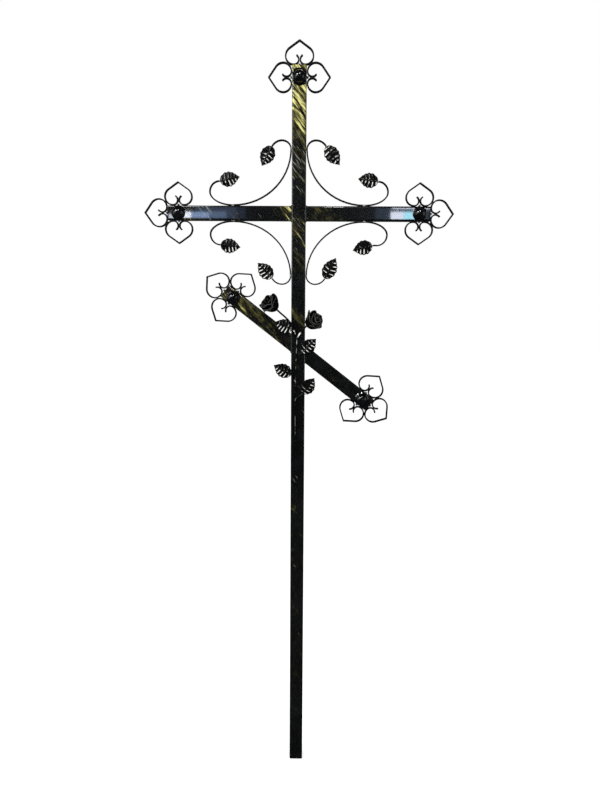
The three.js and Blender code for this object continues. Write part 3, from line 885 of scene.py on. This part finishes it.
def leaf_bmesh(length, width, heading):
    """A leaf along z from its stalk, facing -y. Its half that will lie higher gets painted shade:
    less silver on its ribs.
    """
    bm = bmesh.new()
    rows = RIB_PAIRS * ROWS_PER_RIB
    bmesh.ops.create_grid(bm, x_segments=LEAF_COLUMNS, y_segments=rows, size=1)
    rib = bm.verts.layers.float.new("rib")
    for vert in bm.verts:
        across, along = vert.co.x, (vert.co.y + 1) / 2
        out = abs(across)
        # The outline is widest below the middle and has a small tooth at each rib.
        fullness = sin(pi * along ** 0.66) ** 1.1 if 0 < along < 1 else 0
        wave = cos(2 * pi * (RIB_PAIRS * along - 0.5))
        least = (LEAF_BASE + (LEAF_TIP - LEAF_BASE) * along) / 2
        half_width = max(width / 2 * fullness * (1 + LEAF_TOOTH * wave * out), least)
        # The side ribs lead towards the tip and sink at the leaf's edge.
        lead = 0.1 * sin(pi * along) - 0.09 * (1 - along) ** 4 * fullness
        side_rib = wave * out ** 0.5 * min(1, 3.2 * (1 - out) + 0.35) * fullness
        midrib = exp(-((across * half_width / MIDRIB_WIDTH) ** 2)) * (1 - along) ** 0.4
        bend = LEAF_CAMBER * (across ** 2 * fullness + along ** 2 - along)
        height = RIB_HEIGHT * (0.8 * side_rib + 0.9 * midrib)
        vert.co = (across * half_width, bend - height, length * (along + out * lead))
        # The silver, partly wax and partly painted highlight, catches only the crests, away from
        # the midrib and the edge.
        inside = min(1, 8 * max(0, out - 0.08)) * min(1, 6 * max(0, 0.96 - out))
        crest = max(0, wave) ** 4 * inside * min(1, 3 * fullness)
        # Painted shade: the half that will lie higher gets less silver on its ribs.
        upper = min(1, 3 * max(0, -across * sin(heading)))
        vert[rib] = max(crest, 0.4 * midrib) * (1 - UPPER_HALF_PAINTED_SHADE * upper)
    return bm


print("rows and columns of a leaf:", RIB_PAIRS * ROWS_PER_RIB, LEAF_COLUMNS)

# %% [markdown]
# The flat leaf gets its thickness and is turned to its heading. It starts just past the end
# of the strip or rod that carries it, so that the two don't cut into each other.

# %% Put a leaf in its place
LEAF_SHEET = 2 * MM
LEAF_ROUNDING = 0.5 * MM


def leaf_piece(name, length, width, spot, heading, finish, *nodes):
    """heading is the leaf's turn from +z towards +x, in radians."""
    bm = leaf_bmesh(length, width, heading)
    turn = Matrix.Rotation(heading, 4, "Y")
    bmesh.ops.transform(bm, matrix=Matrix.Translation(spot) @ turn, verts=bm.verts)
    bmesh.ops.recalc_face_normals(bm, faces=bm.faces)
    piece = make_object(name, bm)
    add_thickness(piece, LEAF_SHEET)
    add_rounding(piece, LEAF_ROUNDING, 2)
    return declare(settle(piece), finish, "leaf_paint", *nodes)


def turn_of(direction):
    return atan2(direction.x, direction.z)


def clear_of_end(end, arriving, leaving, carrier):
    """Where the leaf's base stands, just past the end of what carries it."""
    clearance = WELD_GAP + (LEAF_BASE + carrier) / 2 * abs(sin(arriving - leaving))
    return end + clearance * Vector((sin(leaving), 0, cos(leaving)))


print("a leaf is", LEAF_SHEET, "thick")

# %% Leaves of the scrolls
BAR_LEAF_LENGTH = 56 * MM
SCROLL_LEAF_WIDTH = 40 * MM
SCROLL_LEAF_FORWARD = 3 * MM
leaf_level = strip_middle - SCROLL_LEAF_FORWARD

for corner_name, (matrix, bar_tip, post_tip) in scroll_ends.items():
    corner = CORNERS[corner_name]
    bar_turn, post_turn = radians(corner["bar_turn"]), radians(corner["post_turn"])
    leaves = {
        "bar": (bar_tip, Vector((-cos(bar_turn), 0, sin(bar_turn))), BAR_LEAF_LENGTH),
        "post": (
            post_tip, Vector((sin(post_turn), 0, -cos(post_turn))),
            corner["post_leaf"] * MM,
        ),
    }
    flip = matrix.to_3x3()
    for leaf_name, ((end, arriving), leaving, length) in leaves.items():
        heading = turn_of(flip @ leaving)
        spot = clear_of_end(matrix @ end, turn_of(flip @ arriving), heading, STRIP_THICKNESS)
        spot.y = leaf_level
        node = f"leaf_{corner_name}_{leaf_name}"
        leaf_piece(node + "_sheet", length, SCROLL_LEAF_WIDTH, spot, heading, leaf_finish, node)
print("scroll leaves made:", 2 * len(scroll_ends))

# %% [markdown]
# ## The rose sprig
#
# The stem and its stalks are round rod, which a curve with a bevel depth makes well. The
# curve is turned into a mesh at once, so that it can be finished like every other piece.
# Blobs of weld sit where a stalk leaves the stem.

# %% Sizes and points of the sprig
STEM_RADIUS = 2.5 * MM
STALK_RADIUS = 1.6 * MM
STEM_SIDE = -7
STEM_LOWER_END = -272
FORK = (-3, 31)
ROSE_LEAF_WIDTH = 40 * MM
stem_depth = tube_front - WELD_GAP - STEM_RADIUS

SPRIG_LEAVES = {
    "upper_left": {"from": (-12, 52), "base": (-16, 56), "turn": -65, "lift": 10, "length": 52},
    "upper_right": {"from": (-5, -24), "base": (11, -11), "turn": 45, "lift": 3, "length": 57},
    "middle_left": {"from": (-7, -96), "base": (-18, -77), "turn": -60, "lift": 3, "length": 57},
    "lower_right": {"from": (-7, -145), "base": (14, -131), "turn": 36, "lift": 3, "length": 56},
}
ROSES = {
    "rose_left": {
        "bends": [(-12, 55), (-20, 73)], "neck": (-60, 112), "turn": -46, "lift": 4,
        "stray": (-1, 0, 0.05),
    },
    "rose_right": {
        "bends": [(6, 46)], "neck": (24, 67), "turn": 57, "lift": 6, "stray": (-0.75, 0, 0.65),
    },
}


def sprig_point(spot, lift=0.0):
    """A point given in millimetres from the middle of the footrest, lifted off the stem."""
    return Vector((spot[0] * MM, stem_depth - lift * MM, rest_level + spot[1] * MM))


print("the stem forks at", [round(place, 4) for place in sprig_point(FORK)])

# %% Make rods and blobs of weld
ROD_STEPS = 12
BLOB_DENTS = 0.25


def rod_mesh(points, radius):
    curve = bpy.data.curves.new("rod", "CURVE")
    curve.dimensions = "3D"
    curve.bevel_depth = radius
    curve.bevel_resolution = 4
    curve.use_fill_caps = True
    curve.resolution_u = ROD_STEPS
    spline = curve.splines.new("BEZIER")
    spline.bezier_points.add(len(points) - 1)
    for bezier, point in zip(spline.bezier_points, points):
        bezier.co = point
        bezier.handle_left_type = bezier.handle_right_type = "AUTO"
    carrier = bpy.data.objects.new("rod", curve)
    bpy.context.scene.collection.objects.link(carrier)
    graph = bpy.context.evaluated_depsgraph_get()
    mesh = bpy.data.meshes.new_from_object(carrier.evaluated_get(graph))
    bpy.data.objects.remove(carrier)
    return mesh


def add_blob(bm, centre, size, seed=0):
    """A blob of weld: a ball squeezed to size and dented by a little noise."""
    ball = bmesh.ops.create_icosphere(bm, subdivisions=2, radius=1)["verts"]
    for vert in ball:
        vert.co *= 1 + BLOB_DENTS * noise.noise(vert.co * 1.3 + Vector((seed, 2 * seed, 0)))
    bmesh.ops.scale(bm, vec=size, verts=ball)
    bmesh.ops.translate(bm, vec=centre, verts=ball)


print("a rod has", ROD_STEPS, "steps between two points")

# %% Make the stem
BLOB = 3.4 * MM
stem_points = [(STEM_SIDE, STEM_LOWER_END), (STEM_SIDE, STEM_LOWER_END / 3), FORK]
rods = [([sprig_point(spot) for spot in stem_points], STEM_RADIUS)]
for rose in ROSES.values():
    points = [sprig_point(FORK)]
    for i, bend in enumerate(rose["bends"]):
        share = ((i + 1) / (len(rose["bends"]) + 1)) ** 2
        points.append(sprig_point(bend, share * rose["lift"]))
    points.append(sprig_point(rose["neck"], rose["lift"]))
    rods.append((points, STEM_RADIUS))
for leaf in SPRIG_LEAVES.values():
    start, base = sprig_point(leaf["from"]), sprig_point(leaf["base"], leaf["lift"])
    knee = start.lerp(base, 0.4)
    knee.y = base.y
    rods.append(([start, knee, base], STALK_RADIUS))

bm = bmesh.new()
for points, radius in rods:
    bm.from_mesh(rod_mesh(points, radius))
for i, spot in enumerate([FORK] + [leaf["from"] for leaf in SPRIG_LEAVES.values()]):
    add_blob(bm, sprig_point(spot), (BLOB, STEM_RADIUS, BLOB), i)


def silver_and_highlight_on_stem(spot):
    """How much silver the rod gets at an x and z in millimetres, partly wax and bare weld and
    partly painted highlight: bright at the fork, dotted below.
    """
    at_fork = 1.7 - dist(spot, FORK) / 15
    at_stalk = max(1.6 - dist(spot, leaf["from"]) / 4 for leaf in SPRIG_LEAVES.values())
    below = spot[1] < FORK[1] and abs(spot[0] - STEM_SIDE) < 5
    on_stem = 0.44 - (FORK[1] - spot[1]) / 6000 if below else 0
    return min(0.7, max(at_fork, 0.6 * at_stalk, on_stem, 0.1))


rib = bm.verts.layers.float.new("rib")
for vert in bm.verts:
    # Only the rod's front gets silver, as a painted highlight along its crest.
    facing_out = max(0, (stem_depth - vert.co.y) / STEM_RADIUS)
    spot = (vert.co.x / MM, (vert.co.z - rest_level) / MM)
    vert[rib] = min(1, facing_out ** 6) * silver_and_highlight_on_stem(spot)
plain_piece("rose_stem_rod", bm, leaf_finish, "leaf_paint", "rose_stem")
print("rods in the sprig:", len(rods))

# %% Leaves of the sprig
for leaf_name, leaf in SPRIG_LEAVES.items():
    node = "rose_leaf_" + leaf_name
    base = sprig_point(leaf["base"], leaf["lift"])
    arriving = turn_of(base - sprig_point(leaf["from"], leaf["lift"]))
    heading = radians(leaf["turn"])
    spot = clear_of_end(base, arriving, heading, 2 * STALK_RADIUS)
    length = leaf["length"] * MM
    leaf_piece(node + "_sheet", length, ROSE_LEAF_WIDTH, spot, heading, leaf_finish, node)
print("sprig leaves made:", len(SPRIG_LEAVES))

# %% [markdown]
# ### Roses
#
# A smith's rose is a stack of round sheets with their petals dished up round a bud. Each
# petal here is a small grid wrapped on a cup: low and narrow at its foot, wide in the middle,
# with a rounded top whose rim rolls outwards. One edge of each petal stands a little outside
# the next one, so that they overlap like the real ones. The layers get narrower and stand
# higher towards the bud.

# %% Sizes of a rose
ROSE_RADIUS = 24.5 * MM
ROSE_LENGTH = 48 * MM
ROSE_TILT = 34
PETAL_SHEET = 1.2 * MM
PETAL_LAYERS = [
    {"petals": 4, "radius": 0.93, "top": 0.90, "spread": 68, "roll": 0.17, "turn": 20},
    {"petals": 3, "radius": 0.74, "top": 0.97, "spread": 80, "roll": 0.10, "turn": 65},
    {"petals": 3, "radius": 0.50, "top": 1.00, "spread": 84, "roll": 0.07, "turn": 10},
    {"petals": 2, "radius": 0.25, "top": 0.97, "spread": 120, "roll": 0.02, "turn": 80},
]
STRAY_PETAL = {"radius": 1.02, "top": 0.88, "spread": 34, "roll": 0.30}
PETAL_COLUMNS = 22
PETAL_ROWS = 18
PETAL_RIM = 0.10
LEAST_RADIUS = 0.4 * MM
print("petals on a rose:", 1 + sum(layer["petals"] for layer in PETAL_LAYERS))

# %% Make the petals
def cup_radius(share, radius):
    """The cup's radius at a share of its height: quickly out from the neck, then upright."""
    return radius * (1 - (1 - min(share, 1)) ** 2.6) ** 0.6


def add_petal(bm, rim, layer, turn, number):
    before = len(bm.verts)
    bmesh.ops.create_grid(bm, x_segments=PETAL_COLUMNS, y_segments=PETAL_ROWS, size=1)
    for vert in bm.verts[:][before:]:
        across, along = vert.co.x, (vert.co.y + 1) / 2
        wave = 0.05 * sin(3.1 * across + 2.3 * number) + 0.03 * sin(7 * across + number)
        top = layer["top"] * (1 - 0.30 * abs(across) ** 2.4 + wave)
        height = top * along
        wide = radians(layer["spread"]) * (0.75 + 0.25 * along)
        angle = turn + across * wide
        radius = cup_radius(height * 1.15, layer["radius"]) + 0.035 * across * along
        radius += layer["roll"] * along ** 5 * (1 + 0.5 * sin(2.7 * across + 1.3 * number))
        lip = 0.5 * layer["roll"] * along ** 9
        radius = max(radius * ROSE_RADIUS, LEAST_RADIUS)
        vert.co = (radius * cos(angle), (height - lip) * ROSE_LENGTH, radius * sin(angle))
        # The silver on the petals' rims is partly rubbed wax and partly a painted highlight along
        # their edges.
        vert[rim] = max(0, (along - 1 + PETAL_RIM) / PETAL_RIM)


def rose_bmesh(seed, stray_turn):
    bm = bmesh.new()
    rim = bm.verts.layers.float.new("rib")
    for depth, layer in enumerate(PETAL_LAYERS):
        for i in range(layer["petals"]):
            turn = radians(layer["turn"] + 31 * seed + 360 * i / layer["petals"])
            add_petal(bm, rim, layer, turn, i + 3 * depth + 5 * seed)
    add_petal(bm, rim, STRAY_PETAL, stray_turn, seed)
    return bm


def rose_matrix(rose):
    turn, tilt = radians(rose["turn"]), radians(ROSE_TILT)
    level = cos(tilt)
    direction = Vector((level * sin(turn), -sin(tilt), level * cos(turn)))
    neck = sprig_point(rose["neck"], rose["lift"]) + direction * (WELD_GAP + STEM_RADIUS)
    swing = Vector((0, 1, 0)).rotation_difference(direction)
    return Matrix.Translation(neck) @ swing.to_matrix().to_4x4()


print("a petal's grid:", PETAL_COLUMNS, "by", PETAL_ROWS)

# %% [markdown]
# On each rose one petal has sprung away from the rest and curls out. A petal's place round
# the bud is an angle in the rose's own space, so the direction in which it should point is
# turned back into that space first.

# %% Put the roses on their stems
BULB = (0.62, 0.42, 0.62)
BULB_MIDDLE = 0.43

for seed, (node, rose) in enumerate(ROSES.items()):
    matrix = rose_matrix(rose)
    stray = matrix.to_3x3().inverted() @ Vector(rose["stray"])
    bm = rose_bmesh(seed, atan2(stray.z, stray.x))
    bmesh.ops.transform(bm, matrix=matrix, verts=bm.verts)
    piece = make_object(node + "_petals", bm)
    add_thickness(piece, PETAL_SHEET)
    settle(piece)
    core = bmesh.new()
    core.from_mesh(piece.data)
    bulb = bmesh.ops.create_uvsphere(core, u_segments=28, v_segments=18, radius=1)["verts"]
    size = (BULB[0] * ROSE_RADIUS, BULB[1] * ROSE_LENGTH, BULB[2] * ROSE_RADIUS)
    bmesh.ops.scale(core, vec=size, verts=bulb)
    bmesh.ops.translate(core, vec=(0, BULB_MIDDLE * ROSE_LENGTH, 0), verts=bulb)
    bmesh.ops.transform(core, matrix=matrix, verts=bulb)
    core.to_mesh(piece.data)
    core.free()
    finish_mesh(piece.data)
    declare(piece, rose_finish, "rose_paint", node)
print("roses made:", len(ROSES))

# %% [markdown]
# ## Welds
#
# The parts are held by welds. Where a bar meets the post, a bead runs all the way round and
# fills the groove beside the post's round edge. Scrolls and hearts are only tacked, and the
# tacks of the scrolls catch the light. A bead is a row of blobs, each overlapping the last.

# %% Beads round the bars
BEAD = 2.3 * MM
BEAD_STEP = 2.6 * MM
BEAD_OUT = 0.4 * MM
BEAD_SUNK = 0.3 * MM


def add_bead(bm, start, end):
    count = max(2, round((end - start).length / BEAD_STEP))
    for i in range(count + 1):
        add_blob(bm, start.lerp(end, i / count), (BEAD, BEAD, BEAD), i)


def bar_bead(side, slope, level):
    """A bead on the four sides of a bar where it meets the post."""
    bm = bmesh.new()
    x = side * (half_tube + BEAD_OUT)
    back, front = half_tube - BEAD, -half_tube + BEAD
    middle = level - side * tan(slope) * half_tube
    high = half_tube / cos(slope) - BEAD_SUNK
    upper, lower = middle + high, middle - high
    ways_round = ((front, upper), (back, upper), (back, lower), (front, lower))
    corners = [Vector((x, y, z)) for y, z in ways_round]
    for start, end in zip(corners, corners[1:] + corners[:1]):
        add_bead(bm, start, end)
    return bm


for node, (reach, turn, level) in BARS.items():
    side = 1 if turn > 0 else -1
    bead = bar_bead(side, turn - side * QUARTER, level)
    plain_piece("weld_" + node, bead, painted_weld, "tube_paint")
print("beads made:", len(BARS))

# %% Tacks on the strip
TACK_SHORT = 2.2 * MM
TACK_LONG = 5 * MM
TACK_OUT = 1.2 * MM
HEART_TACK = 3.4 * MM

tack_y = strip_front + 0.8 * MM
tacks = bmesh.new()
for number, corner in enumerate(CORNERS.values()):
    matrix = corner_matrix(corner["side"])
    on_bar = matrix @ Vector((SCROLL_BAR_CONTACT, tack_y, half_tube + TACK_OUT))
    on_post = matrix @ Vector((half_tube + TACK_OUT, tack_y, SCROLL_POST_CONTACT))
    add_blob(tacks, on_bar, (TACK_LONG, 2 * MM, TACK_SHORT), number)
    add_blob(tacks, on_post, (TACK_SHORT, 2 * MM, TACK_LONG), number + 9)
plain_piece("weld_scroll_tacks", tacks, bare_weld, "strip_paint")

tacks = bmesh.new()
for number, (place, side_names) in enumerate(ENDS.values()):
    for side in (0, 1, -1):
        foot = Vector((side * (half_tube + 2 * MM), strip_middle, -inset if side else 2 * MM))
        add_blob(tacks, place @ foot, (HEART_TACK, TACK_LONG, HEART_TACK), number + side)
plain_piece("weld_heart_tacks", tacks, painted_weld, "strip_paint")
print("tacks made:", 2 * len(CORNERS) + 3 * len(ENDS))

# %% [markdown]
# ## The camera
#
# The camera stands about two metres in front, a little above the footrest, and looks slightly
# down. Its place and its three turns were found by matching points measured on the object, so
# the picture frames the cross as it was seen.

# %% Put the camera
CAMERA_PLACE = Vector((32.7, -2044.7, 1504.4)) * MM
CAMERA_YAW = -0.733
CAMERA_PITCH = 9.483
CAMERA_ROLL = 0.341
CAMERA_LENS = 31.5
SENSOR_WIDTH = 36

yaw, pitch, roll = (radians(a) for a in (CAMERA_YAW, CAMERA_PITCH, CAMERA_ROLL))
flat = cos(pitch)
forward = Vector((sin(yaw) * flat, cos(yaw) * flat, -sin(pitch)))
level_right = Vector((cos(yaw), -sin(yaw), 0))
level_up = level_right.cross(forward)
right = cos(roll) * level_right + sin(roll) * level_up
up = right.cross(forward)
camera_data = bpy.data.cameras.new("camera")
camera_data.lens = CAMERA_LENS
camera_data.sensor_width = SENSOR_WIDTH
camera = bpy.data.objects.new("camera", camera_data)
bpy.context.scene.collection.objects.link(camera)
turned = Matrix((right, up, -forward)).transposed().to_4x4()
camera.matrix_world = Matrix.Translation(CAMERA_PLACE) @ turned
bpy.context.scene.camera = camera
print("the camera looks along", [round(part, 3) for part in forward])

# %% [markdown]
# ## Floor and light
#
# A white studio: a pale floor under an even white sky. Enamel is a mirror, and in an all
# white room it would turn grey. A photographer hangs black cloth in front of such a subject;
# here the sky is simply dim for mirrored rays. Lamps above draw the highlights on the domes,
# and narrow cold panels far in front are seen as blue reflections near the crossbar's ends.

# %% Floor
WHITE = (1, 1, 1, 1)
FLOOR_TONES = (0.93, 0.93, 0.93, 1), (0.95, 0.95, 0.95, 1)
FLOOR_BLOTS = (3, 3)

floor_mesh = bmesh.new()
bmesh.ops.create_grid(floor_mesh, x_segments=1, y_segments=1, size=30)
floor = make_object("floor", floor_mesh)
floor_material, tree, shader, place = start_material("floor_white")
grain = spread(tree, blots_of(tree, place, *FLOOR_BLOTS), 0.3, 0.7)
feed(shader, {
    "Base Color": mix_colours(tree, grain, *FLOOR_TONES),
    "Roughness": 0.9,
    "Emission Color": WHITE,
    "Emission Strength": 0.5,
})
floor.data.materials.append(floor_material)
floor.visible_glossy = False
print("floor laid:", floor.name)

# %% Sky
SKY_SEEN = (WHITE, 1.0)
SKY_LIGHT = (WHITE, 0.6)
SKY_MIRRORED = ((0.9, 0.95, 1, 1), 0.025)

world = bpy.data.worlds.new("studio")
bpy.context.scene.world = world
world.use_nodes = True
tree = world.node_tree
tree.nodes.clear()
seen, lit, dim = (
    add_node(tree, "ShaderNodeBackground", {"Color": colour, "Strength": strength}).outputs[0]
    for colour, strength in (SKY_SEEN, SKY_LIGHT, SKY_MIRRORED)
)
rays = add_node(tree, "ShaderNodeLightPath", {}).outputs
unseen = add_node(tree, "ShaderNodeMixShader", {0: rays["Is Glossy Ray"], 1: lit, 2: dim})
ways = {0: rays["Is Camera Ray"], 1: unseen.outputs[0], 2: seen}
sky = add_node(tree, "ShaderNodeMixShader", ways)
add_node(tree, "ShaderNodeOutputWorld", {"Surface": sky.outputs[0]})
bpy.context.scene.view_settings.view_transform = "Standard"
print("sky mirrored at a strength of", SKY_MIRRORED[1])

# %% Lamps
GLINT_TURN = -20
LAMPS = {
    "lamp_right": ((0.35, -2.0, 3.7), (0, 0, 1.5), (0.22, 0.5), 22),
    "lamp_glint": ((-1.7, -2.1, 3.5), (0, 0, 1.6), (1.3, 0.42), 44),
    "lamp_front": ((-2.9, -2.3, 2.9), (0, 0, 1.5), (1.6, 1.6), 30),
    "side_left": ((-3.2, -0.9, 1.7), (0, 0, 1.4), (2.2, 2.2), 9),
    "side_right": ((3.2, -0.9, 1.7), (0, 0, 1.4), (2.2, 2.2), 9),
}


def add_lamp(name, spot, target, size, power, colour=(1, 1, 1)):
    light = bpy.data.lights.new(name, "AREA")
    light.shape = "RECTANGLE"
    light.size, light.size_y = size
    light.energy = power
    light.color = colour
    lamp = bpy.data.objects.new(name, light)
    bpy.context.scene.collection.objects.link(lamp)
    lamp.location = spot
    lamp.rotation_mode = "QUATERNION"
    lamp.rotation_quaternion = (Vector(target) - Vector(spot)).to_track_quat("-Z", "Y")
    return lamp


lamps = {name: add_lamp(name, *lamp) for name, lamp in LAMPS.items()}
lamps["lamp_glint"].rotation_quaternion @= Quaternion((0, 0, 1), radians(GLINT_TURN))
lamps["lamp_glint"].visible_diffuse = False
print("lamps:", len(lamps))

# %% [markdown]
# A flat bar mirrors a flat picture, so each cold panel is placed by tracing a line from the
# camera to the bar and on, back over the camera's shoulder. The table gives the stretch of
# the bar's front that should shine, and the loop works out the panel that does it.

# %% Panels that the crossbar mirrors
PANEL_DISTANCE = 3.0
ICE_WHITE = (0.80, 0.86, 1.0)
ICE_BLUE = (0.42, 0.82, 1.0)
STEEL_BLUE = (0.42, 0.60, 1.0)

# The stretch of the bar in millimetres, by two x and two heights above its lower side, and
# the panel's shine and colour.
PANELS = {
    "right_white": (258, 293, 2.5, 25, 66, ICE_WHITE),
    "right_blue": (290, 345, 2.5, 25, 70, ICE_BLUE),
    "right_top": (262, 366, 33.8, 39, 85, ICE_WHITE),
    "right_dim": (215, 366, 3, 38, 2.6, STEEL_BLUE),
    "left_white": (-327, -303, 6, 22, 90, ICE_WHITE),
    "left_blue": (-305, -252, 6, 22, 32, STEEL_BLUE),
    "left_grey": (-255, -203, 6, 24, 14, STEEL_BLUE),
    "left_dim": (-290, -175, 2, 38, 4.5, STEEL_BLUE),
    "left_edge": (-200, -150, 2, 38, 1.8, STEEL_BLUE),
    "left_end": (-366, -352, 3, 16, 60, ICE_WHITE),
}
stretch = (PANEL_DISTANCE + tube_front) / (tube_front - CAMERA_PLACE.y)


def mirrored_from(x, height):
    """Where the camera's line by way of the bar's front ends, on the panels' plane."""
    spot = Vector((x * MM, 0, bar_low.z + height * MM))
    return spot + (spot - CAMERA_PLACE) * stretch


for name, (left, right, bottom, top, shine, colour) in PANELS.items():
    low, high = mirrored_from(left, bottom), mirrored_from(right, top)
    wide, tall = high.x - low.x, high.z - low.z
    spot = ((low.x + high.x) / 2, -PANEL_DISTANCE, (low.z + high.z) / 2)
    facing = (spot[0], 0, spot[2])
    add_lamp("panel_" + name, spot, facing, (wide, tall), shine * wide * tall, colour)
print("panels:", len(PANELS))
